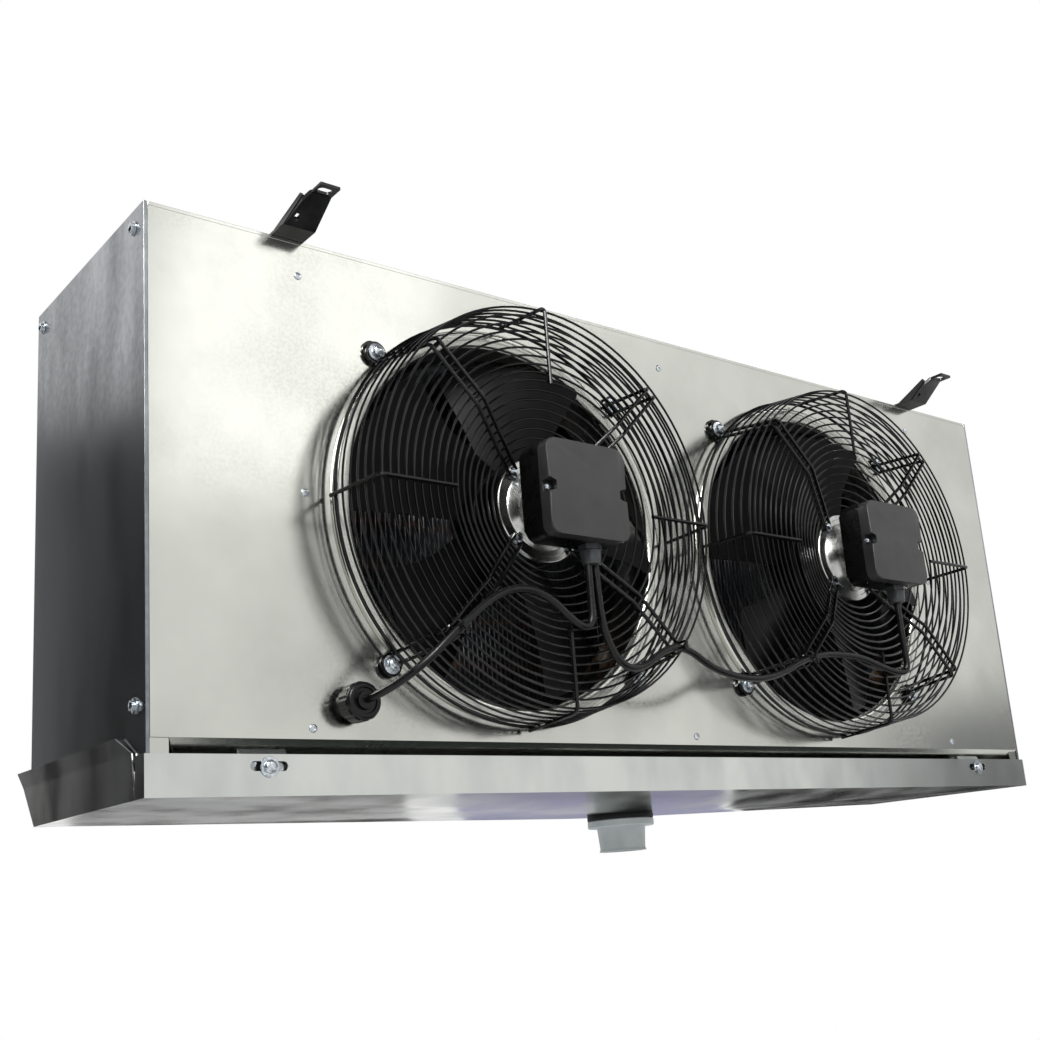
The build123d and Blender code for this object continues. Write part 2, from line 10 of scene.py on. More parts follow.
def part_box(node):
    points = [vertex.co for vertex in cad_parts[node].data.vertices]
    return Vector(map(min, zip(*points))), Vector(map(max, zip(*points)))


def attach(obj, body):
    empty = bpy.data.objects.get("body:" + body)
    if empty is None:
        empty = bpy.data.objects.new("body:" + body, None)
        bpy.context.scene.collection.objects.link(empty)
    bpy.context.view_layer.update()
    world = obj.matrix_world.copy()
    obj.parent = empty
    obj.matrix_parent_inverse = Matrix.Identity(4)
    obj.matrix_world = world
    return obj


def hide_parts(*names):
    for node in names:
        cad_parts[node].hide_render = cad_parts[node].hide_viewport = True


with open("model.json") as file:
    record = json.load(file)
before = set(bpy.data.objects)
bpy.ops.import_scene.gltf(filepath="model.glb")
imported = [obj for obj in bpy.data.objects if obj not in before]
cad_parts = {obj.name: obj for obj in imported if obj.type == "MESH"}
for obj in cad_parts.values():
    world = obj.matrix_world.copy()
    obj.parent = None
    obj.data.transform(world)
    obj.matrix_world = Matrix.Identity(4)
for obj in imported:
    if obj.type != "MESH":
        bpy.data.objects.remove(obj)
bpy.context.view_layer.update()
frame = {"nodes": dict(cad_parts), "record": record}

scene = bpy.context.scene
scene.view_settings.view_transform = "Standard"


# ---- places ------------------------------------------------------------------
# Sizes below are in millimetres. The casing's corner is its front lower left one, on the panel's face.
millimetres = Matrix.Scale(0.001, 4)
cover_height = 458
corner = Vector((
    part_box("side_panel_left")[0].x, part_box("front_panel")[0].y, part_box("top_cover")[1].z - cover_height / 1000,
))
on_casing = Matrix.Translation(corner) @ millimetres
casing_length, casing_depth = 1200, 265
hanger_places = (137, 1061)


def in_casing(x, y, z):
    """A place given in mm from the casing's corner, in the frame's metres."""
    return on_casing @ Vector((x, y, z))


def fan_place(side):
    """Fan coordinates: x to the right, y up and z out into the room, from the middle of the throat."""
    low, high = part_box(f"bell_mouth_{side}")
    middle = (low + high) / 2
    turn = Matrix(((1, 0, 0, 0), (0, 0, -1, 0), (0, 1, 0, 0), (0, 0, 0, 1)))
    return Matrix.Translation((middle.x, corner.y, middle.z)) @ turn @ millimetres


on_fan = {side: fan_place(side) for side in ("left", "right")}


# ---- camera ------------------------------------------------------------------
def set_camera():
    right = Vector((0.78494636, -0.61515003, -0.07382172))
    up = Vector((-0.0926353, -0.23433851, 0.96773145))
    back = Vector((-0.61259931, -0.75277878, -0.24092777))
    lens = bpy.data.cameras.new("viewpoint")
    lens.sensor_width = 36
    lens.lens = 45.7093
    lens.shift_x = -0.00804999
    lens.shift_y = 0.04653305
    lens.clip_start = 0.01
    camera = bpy.data.objects.new("viewpoint", lens)
    camera.matrix_world = Matrix.Translation((-1.01018069, -1.1066013, -0.62591372)) @ Matrix(
        (right, up, back)).transposed().to_4x4()
    scene.collection.objects.link(camera)
    scene.camera = camera


set_camera()


# ---- nodes and colours -------------------------------------------------------
def linear(colour):
    """An sRGB hex colour as the linear values that a shader takes."""
    parts = [int(colour[i:i + 2], 16) / 255 for i in (1, 3, 5)]
    return [p / 12.92 if p <= 0.04045 else ((p + 0.055) / 1.055) ** 2.4 for p in parts] + [1]


def add(tree, kind, inputs=None, **settings):
    """Adds a node with its settings; an input given as a socket is linked, any other is its value."""
    made = tree.nodes.new(kind)
    for name, value in settings.items():
        setattr(made, name, value)
    for key, value in (inputs or {}).items():
        if isinstance(value, bpy.types.NodeSocket):
            tree.links.new(value, made.inputs[key])
        else:
            made.inputs[key].default_value = value
    return made


def bare_material(name):
    """A material and its tree, which holds no nodes yet."""
    material = bpy.data.materials.new(name)
    material.use_nodes = True
    material.node_tree.nodes.clear()
    return material, material.node_tree


def start_finish(name, **shader):
    """A material with its shader and the piece's own coordinates, in metres."""
    material, tree = bare_material(name)
    values = {key.replace("_", " "): value for key, value in shader.items()}
    surface = add(tree, "ShaderNodeBsdfPrincipled", values)
    add(tree, "ShaderNodeOutputMaterial", {"Surface": surface.outputs[0]})
    return material, tree, surface, add(tree, "ShaderNodeTexCoord").outputs["Object"]


def mottle(tree, place, size, stretch=(1, 1, 1), detail=3, low=0.35, high=0.65):
    """Cloudy pattern from 0 to 1 with patches about `size` mm across, longer where `stretch` is small."""
    shift = add(tree, "ShaderNodeMapping", {"Vector": place, "Scale": stretch})
    cloud = {"Vector": shift.outputs[0], "Scale": 1000 / size, "Detail": detail}
    noise = add(tree, "ShaderNodeTexNoise", cloud)
    spread = {"Value": noise.outputs["Fac"], "From Min": low, "From Max": high}
    return add(tree, "ShaderNodeMapRange", spread).outputs[0]


def tint(tree, surface, factor, first, second):
    """The surface's colour runs from the first to the second along a pattern."""
    mix = add(tree, "ShaderNodeMix", {0: factor, 6: linear(first), 7: linear(second)}, data_type="RGBA")
    tree.links.new(mix.outputs[2], surface.inputs["Base Color"])
    return mix.outputs[2]


def dull(tree, surface, factor, lowest, highest):
    """The surface's roughness runs between two values along a pattern."""
    spread = add(tree, "ShaderNodeMapRange", {"Value": factor, "To Min": lowest, "To Max": highest})
    tree.links.new(spread.outputs[0], surface.inputs["Roughness"])


def relief(tree, surface, factor, height):
    """The pattern stands up by a height in mm."""
    bump = add(tree, "ShaderNodeBump", {"Height": factor, "Strength": 1, "Distance": height / 1000})
    tree.links.new(bump.outputs[0], surface.inputs["Normal"])


# ---- finishes ----------------------------------------------------------------
def polished_sheet():
    """Bright rolled aluminium-magnesium sheet: near-white mirror softened by a fine mottle and handling."""
    material, tree, surface, place = start_finish("bright_rolled_aluminium_sheet", Metallic=1)
    clouds = mottle(tree, place, 130, detail=4)
    # the real skin is finer than 1 mm; 3 mm is what shows from across a room
    skin = mottle(tree, place, 3, detail=2)
    tint(tree, surface, clouds, "#CBCCC5", "#BCBDB6")
    grain = add(tree, "ShaderNodeMath", {0: clouds, 1: skin, 2: 0.1}, operation="MULTIPLY_ADD")
    dull(tree, surface, grain.outputs[0], 0.15, 0.24)
    relief(tree, surface, skin, 0.0025)
    return material


def pan_sheet():
    """The same bright sheet folded into the pan, a shade cooler where melt water has run over it."""
    material, tree, surface, place = start_finish("bright_pan_sheet", Metallic=1)
    stains = mottle(tree, place, 70, stretch=(1, 1, 0.5), detail=4)
    tint(tree, surface, stains, "#CDCFCA", "#BBBEBC")
    dull(tree, surface, stains, 0.14, 0.24)
    relief(tree, surface, mottle(tree, place, 3, detail=2), 0.004)
    return material


def galvanised_sheet(name, light, dark, stretch):
    """Hot-dip galvanised steel: blue-grey sheet that mirrors softly under cloudy tarnish."""
    material, tree, surface, place = start_finish(name, Metallic=1)
    clouds = mottle(tree, place, 55, stretch=stretch, detail=4, low=0.3, high=0.7)
    spangle = mottle(tree, place, 7, detail=2)
    sum_up = {"operation": "MULTIPLY_ADD", "use_clamp": True}
    tone = add(tree, "ShaderNodeMath", {0: spangle, 1: 0.25, 2: clouds}, **sum_up)
    tint(tree, surface, tone.outputs[0], dark, light)
    dull(tree, surface, tone.outputs[0], 0.26, 0.18)
    return material


def zinc_plate():
    """Bright zinc-plated steel of screws and washers: bluish, slightly cloudy shine."""
    material, tree, surface, place = start_finish("bright_zinc_plated_steel", Metallic=1)
    clouds = mottle(tree, place, 2.5)
    tint(tree, surface, clouds, "#D5DADF", "#9DA5AC")
    dull(tree, surface, clouds, 0.16, 0.34)
    return material


def dipped_wire():
    """Steel wire dipped in black plastic: deep gloss with a faint orange peel."""
    material, tree, surface, place = start_finish("black_dipped_steel_wire", Specular_IOR_Level=0.3)
    peel = mottle(tree, place, 2)
    tint(tree, surface, peel, "#040405", "#0A0A0B")
    dull(tree, surface, mottle(tree, place, 25), 0.12, 0.2)
    relief(tree, surface, peel, 0.01)
    return material


def paint(name, colour, worn, lowest, highest, gloss):
    """Black powder coat on steel: fine orange peel, rubbed slightly paler in patches."""
    material, tree, surface, place = start_finish(name, Specular_IOR_Level=gloss)
    tint(tree, surface, mottle(tree, place, 18), colour, worn)
    dull(tree, surface, mottle(tree, place, 30), lowest, highest)
    relief(tree, surface, mottle(tree, place, 1.2), 0.012)
    return material


def moulded(name, colour, pale, lowest, highest, gloss=0.5):
    """Injection-moulded plastic: even colour, spark-eroded grain and soft sheen."""
    material, tree, surface, place = start_finish(name, Specular_IOR_Level=gloss)
    tint(tree, surface, mottle(tree, place, 28), colour, pale)
    dull(tree, surface, mottle(tree, place, 12), lowest, highest)
    relief(tree, surface, mottle(tree, place, 1, detail=1), 0.01)
    return material


def cast_motor_alloy():
    """Machined die-cast aluminium flange: smooth and bright, with a slow cloudiness."""
    material, tree, surface, place = start_finish("machined_cast_aluminium", Metallic=1)
    skin = mottle(tree, place, 16, detail=2)
    tint(tree, surface, skin, "#C6C7C4", "#AEAFAC")
    dull(tree, surface, skin, 0.2, 0.27)
    return material


def drawn_copper():
    """Drawn copper tube, handled and lightly tarnished."""
    material, tree, surface, place = start_finish("drawn_copper_tube", Metallic=1)
    tarnish = mottle(tree, place, 22, detail=4)
    tint(tree, surface, tarnish, "#D98A5B", "#8A4F33")
    dull(tree, surface, tarnish, 0.2, 0.42)
    return material


def fin_stock():
    """Thin bare aluminium fin strip: pale, satin and a little dusty at its edges."""
    material, tree, surface, place = start_finish("aluminium_fin_strip", Metallic=1)
    dust = mottle(tree, place, 35)
    tint(tree, surface, dust, "#C9CDD0", "#9EA3A7")
    dull(tree, surface, dust, 0.28, 0.45)
    return material


def cable_jacket():
    """Flexible PVC cable jacket: black, softly shining, with faint ripples over the cores inside."""
    material, tree, surface, place = start_finish("black_flexible_pvc", Specular_IOR_Level=0.28)
    ripple = mottle(tree, place, 9)
    tint(tree, surface, ripple, "#060607", "#0E0E0F")
    dull(tree, surface, ripple, 0.24, 0.36)
    relief(tree, surface, ripple, 0.03)
    return material


def soft_rubber():
    """Moulded nitrile rubber: matt black with a grey bloom."""
    material, tree, surface, place = start_finish("black_nitrile_rubber", Specular_IOR_Level=0.3)
    bloom = mottle(tree, place, 7)
    tint(tree, surface, bloom, "#0B0B0C", "#161718")
    dull(tree, surface, bloom, 0.5, 0.7)
    return material


finishes = {
    "bright_sheet": polished_sheet(),
    "pan_sheet": pan_sheet(),
    "sheet_steel": galvanised_sheet("tarnished_galvanised_sheet", "#9EA1A4", "#64686C", (1, 1, 0.3)),
    "galvanised": galvanised_sheet("bright_galvanised_sheet", "#B4B8BB", "#7F8487", (1, 1, 1)),
    "zinc": zinc_plate(),
    "black_wire": dipped_wire(),
    "black_steel": paint("black_powder_coated_steel", "#08080A", "#121315", 0.26, 0.4, 0.4),
    "black_paint": paint("black_painted_steel", "#020202", "#050506", 0.3, 0.44, 0.12),
    "black_plastic": moulded("black_moulded_nylon", "#070708", "#0D0D0E", 0.24, 0.36, 0.26),
    "lid_plastic": moulded("satin_moulded_nylon", "#2A2A2B", "#323233", 0.3, 0.42),
    "grey_plastic": moulded("grey_moulded_pvc", "#C8CFD0", "#B9C0C1", 0.36, 0.5),
    "gland_plastic": moulded("dark_grey_polyamide", "#3C3E40", "#323436", 0.32, 0.44),
    "cast_alloy": cast_motor_alloy(),
    "copper": drawn_copper(),
    "fin_aluminium": fin_stock(),
    "black_rubber": soft_rubber(),
    "cable": cable_jacket(),
}


# ---- making pieces -----------------------------------------------------------
def as_mesh(shape, name="part"):
    """The shape as a mesh; the shape itself is freed."""
    mesh = bpy.data.meshes.new(name)
    shape.to_mesh(mesh)
    shape.free()
    return mesh


def finished(shape, name, place, body, finish, nodes=(), sharp=35, clean=True):
    """The piece of that shape, in place, in its finish, riding on its body instead of its CAD nodes."""
    mesh = shape
    if isinstance(shape, bmesh.types.BMesh):
        if clean:
            bmesh.ops.remove_doubles(shape, verts=shape.verts, dist=0.0005)
            bmesh.ops.recalc_face_normals(shape, faces=shape.faces)
        mesh = as_mesh(shape, name)
    mesh.transform(place)
    mesh.shade_smooth()
    mesh.set_sharp_from_angle(angle=math.radians(sharp))
    piece = bpy.data.objects.new(name, mesh)
    scene.collection.objects.link(piece)
    mesh.materials.clear()
    mesh.materials.append(finishes[finish])
    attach(piece, body)
    if nodes:
        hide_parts(*nodes)
    return piece


def soften(piece, width, segments=2, angle=30):
    """Rounds the piece's edges by a width in mm."""
    edge = piece.modifiers.new("rounded edges", "BEVEL")
    edge.width = width / 1000
    edge.segments = segments
    edge.limit_method = "ANGLE"
    edge.angle_limit = math.radians(angle)
    edge.harden_normals = True
    return piece


def from_node(node, name, body, finish, width, sharp=35):
    """A copy of a CAD node with its facets joined and its edges rounded, which stands for the node."""
    shape = bmesh.new()
    shape.from_mesh(frame["nodes"][node].data)
    bmesh.ops.remove_doubles(shape, verts=shape.verts, dist=1e-6)
    flat = math.radians(1)
    bmesh.ops.dissolve_limit(shape, angle_limit=flat, verts=shape.verts, edges=shape.edges)
    return soften(finished(shape, name, Matrix(), body, finish, [node], sharp, clean=False), width)


def turned(shape, profile, sides=48, place=Matrix()):
    """Adds a body turned round its own z axis from (radius, height) points; points on the axis close it."""
    rows = []
    for radius, height in profile:
        count = 1 if radius < 1e-6 else sides
        angles = [2 * math.pi * i / count for i in range(count)]
        ring = [Vector((radius * math.cos(a), radius * math.sin(a), height)) for a in angles]
        rows.append([shape.verts.new(place @ point) for point in ring])
    for low, high in zip(rows, rows[1:]):
        for i in range(sides):
            j = (i + 1) % sides
            around = [low[i % len(low)], low[j % len(low)], high[j % len(high)], high[i % len(high)]]
            corners = list(dict.fromkeys(around))
            if len(corners) > 2:
                shape.faces.new(corners)


def pressed(shape, outline, low, high, place=Matrix()):
    """Adds a flat body with that outline between two heights."""
    bottom = [shape.verts.new(place @ Vector((x, y, low))) for x, y in outline]
    top = [shape.verts.new(place @ Vector((x, y, high))) for x, y in outline]
    shape.faces.new(reversed(bottom))
    upper = shape.faces.new(top)
    for i in range(len(outline)):
        j = (i + 1) % len(outline)
        shape.faces.new((bottom[i], bottom[j], top[j], top[i]))
    return upper


def polygon(radius, sides, turn=0.0):
    angles = [turn + 2 * math.pi * i / sides for i in range(sides)]
    return [(radius * math.cos(a), radius * math.sin(a)) for a in angles]


def rounded_box(width, height, radius, steps=6):
    """Outline of a rectangle with round corners."""
    points = []
    for sx, sy, start in ((1, 1, 0), (-1, 1, 90), (-1, -1, 180), (1, -1, 270)):
        for i in range(steps + 1):
            a = math.radians(start + 90 * i / steps)
            x = sx * (width / 2 - radius) + radius * math.cos(a)
            points.append((x, sy * (height / 2 - radius) + radius * math.sin(a)))
    return points


def arc(centre, radius, start, end, steps):
    """Points of (radius, height) profiles along an arc, in degrees."""
    angles = [math.radians(start + (end - start) * i / steps) for i in range(steps + 1)]
    return [(centre[0] + radius * math.cos(a), centre[1] + radius * math.sin(a)) for a in angles]


# ---- Geometry Nodes ----------------------------------------------------------
def node_tree(name, sizes, build):
    """A Geometry Nodes tree with a named input for each size; build adds its nodes and gives its result."""
    tree = bpy.data.node_groups.new(name, "GeometryNodeTree")
    tree.interface.new_socket("Geometry", in_out="INPUT", socket_type="NodeSocketGeometry")
    tree.interface.new_socket("Geometry", in_out="OUTPUT", socket_type="NodeSocketGeometry")
    for size, kind in {**sizes, "Finish": "Material"}.items():
        tree.interface.new_socket(size, in_out="INPUT", socket_type="NodeSocket" + kind)
    entry = add(tree, "NodeGroupInput").outputs
    real = add(tree, "GeometryNodeRealizeInstances", {"Geometry": build(tree, entry)})
    coated = add(tree, "GeometryNodeSetMaterial", {"Geometry": real.outputs[0], "Material": entry["Finish"]})
    add(tree, "NodeGroupOutput", {"Geometry": coated.outputs[0]})
    return tree


def grown(tree, values, source=None):
    """The plain mesh that a tree makes from those values, and from a source mesh where it needs one."""
    carrier = bpy.data.objects.new("carrier", source or bpy.data.meshes.new("carrier"))
    scene.collection.objects.link(carrier)
    modifier = carrier.modifiers.new("tree", "NODES")
    modifier.node_group = tree
    for item in tree.interface.items_tree:
        if item.in_out == "INPUT" and item.name in values:
            modifier[item.identifier] = values[item.name]
    ready = carrier.evaluated_get(bpy.context.evaluated_depsgraph_get())
    mesh = bpy.data.meshes.new_from_object(ready)
    bpy.data.objects.remove(carrier)
    return mesh


def build_rings(tree, entry):
    """Rings on a common axis, each smaller or larger and further along than the last."""
    index = add(tree, "GeometryNodeInputIndex").outputs[0]
    radius = add(tree, "ShaderNodeMath", {0: index, 1: entry["Radius Step"], 2: entry["First Radius"]},
                 operation="MULTIPLY_ADD").outputs[0]
    height = add(tree, "ShaderNodeMath", {0: index, 1: entry["Height Step"], 2: entry["First Height"]},
                 operation="MULTIPLY_ADD").outputs[0]
    row = add(tree, "GeometryNodeMeshLine", {"Count": entry["Count"], "Offset": (0, 0, 0)})
    lift = add(tree, "ShaderNodeCombineXYZ", {"Z": height})
    placed = add(tree, "GeometryNodeSetPosition", {"Geometry": row.outputs[0], "Position": lift.outputs[0]})
    hoop = add(tree, "GeometryNodeCurvePrimitiveCircle", {"Resolution": 96, "Radius": 1.0})
    size = add(tree, "ShaderNodeCombineXYZ", {"X": radius, "Y": radius, "Z": 1.0})
    hoops = add(tree, "GeometryNodeInstanceOnPoints",
                {"Points": placed.outputs[0], "Instance": hoop.outputs[0], "Scale": size.outputs[0]})
    real = add(tree, "GeometryNodeRealizeInstances", {"Geometry": hoops.outputs[0]})
    section = add(tree, "GeometryNodeCurvePrimitiveCircle", {"Resolution": 8, "Radius": entry["Wire Radius"]})
    return add(tree, "GeometryNodeCurveToMesh",
               {"Curve": real.outputs[0], "Profile Curve": section.outputs[0]}).outputs[0]


def build_bent_wire(tree, entry):
    """Wire or tube along each of the source's lines, bent round its corners."""
    lines = add(tree, "GeometryNodeMeshToCurve", {"Mesh": entry["Geometry"]})
    bend = {"Curve": lines.outputs[0], "Radius": entry["Bend Radius"], "Limit Radius": True, "Count": 6}
    bent = add(tree, "GeometryNodeFilletCurve", bend, mode="POLY")
    section = add(tree, "GeometryNodeCurvePrimitiveCircle",
                  {"Resolution": entry["Sides"], "Radius": entry["Wire Radius"]})
    return add(tree, "GeometryNodeCurveToMesh", {
        "Curve": bent.outputs[0], "Profile Curve": section.outputs[0], "Fill Caps": True}).outputs[0]


def build_stack(tree, entry):
    """Thin upright plates in a row along x."""
    spacing = add(tree, "ShaderNodeCombineXYZ", {"X": entry["Pitch"]})
    row = add(tree, "GeometryNodeMeshLine",
              {"Count": entry["Count"], "Start Location": entry["Start"], "Offset": spacing.outputs[0]})
    plate = add(tree, "GeometryNodeMeshCube", {"Size": entry["Plate Size"]})
    return add(tree, "GeometryNodeInstanceOnPoints",
               {"Points": row.outputs[0], "Instance": plate.outputs[0]}).outputs[0]


def build_fasteners(tree, entry):
    """One fastener on each point of the source, all facing one way, each turned by chance on its axis."""
    model = add(tree, "GeometryNodeObjectInfo", {"Object": entry["Fastener"]}, transform_space="ORIGINAL")
    chance = add(tree, "FunctionNodeRandomValue", {2: 0.0, 3: 6.283, "Seed": 7}, data_type="FLOAT")
    spin = add(tree, "FunctionNodeAxisAngleToRotation", {"Axis": (0, 0, 1), "Angle": chance.outputs[1]})
    facing = add(tree, "FunctionNodeAlignRotationToVector", {"Vector": entry["Facing"]}, axis="Z")
    turn = add(tree, "FunctionNodeRotateRotation",
               {"Rotation": facing.outputs[0], "Rotate By": spin.outputs[0]}, rotation_space="LOCAL")
    copies = {"Points": entry["Geometry"], "Instance": model.outputs["Geometry"], "Rotation": turn.outputs[0]}
    return add(tree, "GeometryNodeInstanceOnPoints", copies).outputs[0]


def build_spokes(tree, entry):
    """Copies of one piece set evenly round the z axis."""
    index = add(tree, "GeometryNodeInputIndex").outputs[0]
    step = add(tree, "ShaderNodeMath", {0: 6.2831853, 1: entry["Count"]}, operation="DIVIDE")
    angle = add(tree, "ShaderNodeMath", {0: index, 1: step.outputs[0]}, operation="MULTIPLY")
    turn = add(tree, "FunctionNodeAxisAngleToRotation", {"Axis": (0, 0, 1), "Angle": angle.outputs[0]})
    model = add(tree, "GeometryNodeObjectInfo", {"Object": entry["Piece"]}, transform_space="ORIGINAL")
    row = add(tree, "GeometryNodeMeshLine", {"Count": entry["Count"], "Offset": (0, 0, 0)})
    copies = {"Points": row.outputs[0], "Instance": model.outputs["Geometry"], "Rotation": turn.outputs[0]}
    return add(tree, "GeometryNodeInstanceOnPoints", copies).outputs[0]


rings = node_tree("guard rings", {
    "Count": "Int", "First Radius": "Float", "Radius Step": "Float", "First Height": "Float",
    "Height Step": "Float", "Wire Radius": "Float"}, build_rings)
bent_wire = node_tree("bent wire", {
    "Bend Radius": "Float", "Wire Radius": "Float", "Sides": "Int"}, build_bent_wire)
stack = node_tree("stacked plates", {
    "Count": "Int", "Pitch": "Float", "Start": "Vector", "Plate Size": "Vector"}, build_stack)
fasteners = node_tree("fasteners", {"Fastener": "Object", "Facing": "Vector"}, build_fasteners)
spokes = node_tree("spokes", {"Count": "Int", "Piece": "Object"}, build_spokes)


def line_mesh(lines):
    """Each list of points as a chain of edges."""
    mesh = bpy.data.meshes.new("lines")
    points, edges = [], []
    for line in lines:
        edges += [(len(points) + i, len(points) + i + 1) for i in range(len(line) - 1)]
        points += line
    mesh.from_pydata(points, edges, [])
    return mesh


def joined(meshes):
    """Several meshes as one shape."""
    shape = bmesh.new()
    for mesh in meshes:
        shape.from_mesh(mesh)
    return shape


def as_model(shape, width=0):
    """A shape as a hidden object that a tree copies, with its edges rounded by a width in mm."""
    bmesh.ops.remove_doubles(shape, verts=shape.verts, dist=0.0005)
    bmesh.ops.recalc_face_normals(shape, faces=shape.faces)
    if width:
        sharp = [e for e in shape.edges if len(e.link_faces) == 2 and e.calc_face_angle(0) > 0.6]
        bmesh.ops.bevel(shape, geom=sharp, offset=width, segments=2, profile=0.5, affect="EDGES")
    return bpy.data.objects.new("model", as_mesh(shape))


def set_fasteners(name, model, points, facing, place, body, finish, nodes):
    """Copies of a fastener at points, facing one way or several: `facing` goes with its own points."""
    groups = facing if isinstance(facing, dict) else {facing: points}
    meshes = []
    for direction, spots in groups.items():
        values = {"Fastener": model, "Facing": direction, "Finish": finishes[finish]}
        meshes.append(grown(fasteners, values, line_mesh([[spot] for spot in spots])))
    return finished(joined(meshes), name, place, body, finish, nodes, clean=False)


# ---- cables ------------------------------------------------------------------
def lay_cable(name, route, diameter=7.2):
    """A cable along one smooth line with the route's points, from one gland to the next."""
    curve = bpy.data.curves.new(name, "CURVE")
    curve.dimensions = "3D"
    spline = curve.splines.new("NURBS")
    spline.points.add(len(route) - 1)
    for point, spot in zip(spline.points, route):
        point.co = (*in_casing(*spot), 1)
    spline.order_u = 3
    spline.use_endpoint_u = True
    curve.resolution_u = 10
    curve.bevel_depth = diameter / 2000
    curve.bevel_resolution = 3
    curve.use_fill_caps = True
    curve.materials.append(finishes["cable"])
    cable = bpy.data.objects.new(name + "_jacket", curve)
    scene.collection.objects.link(cable)
    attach(cable, "casing")
    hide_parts(name)


supply_route = [
    (183, -6, 30), (183, -44, 30), (207, -78, 51), (246, -85.3, 89), (291, -86, 123), (332, -90, 124),
    (367, -95, 91), (382.6, -96, 93), (383.2, -96, 118), (383.2, -96, 162),
]
link_route = [
    (391.8, -96, 162), (391.8, -96, 119), (398, -94, 86), (417, -91, 59), (447, -88, 57), (482, -85.4, 80),
    (512, -85.2, 82.5), (546, -85, 62), (596, -85, 54), (640, -85, 60), (676, -85.2, 76), (712, -85.3, 86.5),
    (745, -86, 88), (778, -88, 86), (806, -90, 77), (834, -93, 70), (848, -96, 73), (847, -96, 96),
    (845.5, -96, 118), (845.5, -96, 162),
]
lay_cable("supply_cable", supply_route)
lay_cable("link_cable", link_route)


# ---- fan guards --------------------------------------------------------------
guard_radius, brace_front, brace_wire = 194, 78.9, 1.9
bolt_offset = 148
foot_reach = bolt_offset * math.sqrt(2)


def ring_set(count, first_radius, radius_step, first_height, height_step, wire=1.15):
    values = {
        "Count": count, "First Radius": float(first_radius), "Radius Step": float(radius_step),
        "First Height": float(first_height), "Height Step": float(height_step), "Wire Radius": float(wire),
        "Finish": finishes["black_wire"],
    }
    return grown(rings, values)


def wire_mesh(lines, bend, wire, finish="black_wire", sides=10):
    values = {
        "Bend Radius": float(bend), "Wire Radius": float(wire), "Sides": sides, "Finish": finishes[finish]}
    return grown(bent_wire, values, line_mesh(lines))


def guard_rings(side):
    """Ten flat rings in front, seven that dip to the motor, and the widening rings round the side."""
    front = ring_set(10, guard_radius, -8.1, 76.5, 0)
    dip = ring_set(7, 112.6, -8.6, 72.9, -3.1)
    skirt = ring_set(5, 195.2, 1.15, 65, -11)
    rear = ring_set(1, 201, 0, 11, 0, 1.7)
    nodes = [f"guard_side_rings_{side}", f"guard_front_rings_{side}"]
    finished(joined([front, dip, skirt, rear]), f"guard_wire_rings_{side}", on_fan[side], "casing",
             "black_wire", nodes, clean=False)


def guard_braces(side):
    """Single wires on the axes, and hairpin wires between them from the motor to a loop round each bolt."""
    single = [(204, 0, 7.5), (197.4, 0, brace_front), (118, 0, brace_front)]
    half = [(46, 5.5, 51.8), (121, 5.5, brace_front), (190, 5.5, brace_front), (201, 5.5, 3.4), (218, 5.5, 3.4)]
    hairpin = half + [(x, -y, z) for x, y, z in reversed(half)]
    links = [[(x, -5.5, z), (x, 5.5, z)] for x, z in ((58, 56.2), (126, brace_front), (184, brace_front))]
    singles, hairpins, ties, feet = [], [], [], bmesh.new()
    for quarter in range(4):
        square = Matrix.Rotation(math.radians(90 * quarter), 4, "Z")
        slanted = Matrix.Rotation(math.radians(90 * quarter + 45), 4, "Z")
        singles.append([square @ Vector(p) for p in single])
        hairpins.append([slanted @ Vector(p) for p in hairpin])
        ties += [[slanted @ Vector(p) for p in link] for link in links]
        outline = [(foot_reach - 8 + x, y) for x, y in rounded_box(43, 19, 9.4)]
        pressed(feet, outline, 0.4, 2.2, slanted)
        rubber = [(foot_reach + x, y) for x, y in polygon(11, 28)]
        pressed(feet, rubber, 2.2, 5.5, slanted)
    bmesh.ops.recalc_face_normals(feet, faces=feet.faces)
    wires = [wire_mesh(singles, 7, brace_wire), wire_mesh(hairpins, 5.4, brace_wire),
             wire_mesh(ties, 1, 1.3, sides=8)]
    finished(joined([*wires, as_mesh(feet)]), f"guard_spoke_wires_{side}", on_fan[side], "casing",
             "black_wire", [f"guard_braces_{side}"], clean=False)


def hex_bolt(across, height, washer_radius, washer=1.6, dome=0.8):
    """Hexagon bolt head with a rounded top on its washer, standing on z = 0."""
    shape = bmesh.new()
    turned(shape, [(0, 0), (washer_radius, 0), (washer_radius, washer), (0, washer)], 28)
    head = bmesh.new()
    pressed(head, polygon(across / math.sqrt(3), 6), washer, height)
    turned(head, [(across * 0.46, height), (across * 0.3, height + dome * 0.8), (0, height + dome)], 18)
    shape.from_mesh(as_mesh(head))
    return as_model(shape, 0.35)


def guard_bolts(side):
    spots = [(sx * bolt_offset, sy * bolt_offset, 5.5) for sx in (-1, 1) for sy in (-1, 1)]
    set_fasteners(f"guard_bolt_heads_{side}", hex_bolt(10, 5.6, 8.8, dome=1.4), spots, (0, 0, 1), on_fan[side],
                  "casing", "zinc", [f"guard_bolts_{side}"])


# ---- fan bodies --------------------------------------------------------------
throat_radius, collar_radius = 178, 199


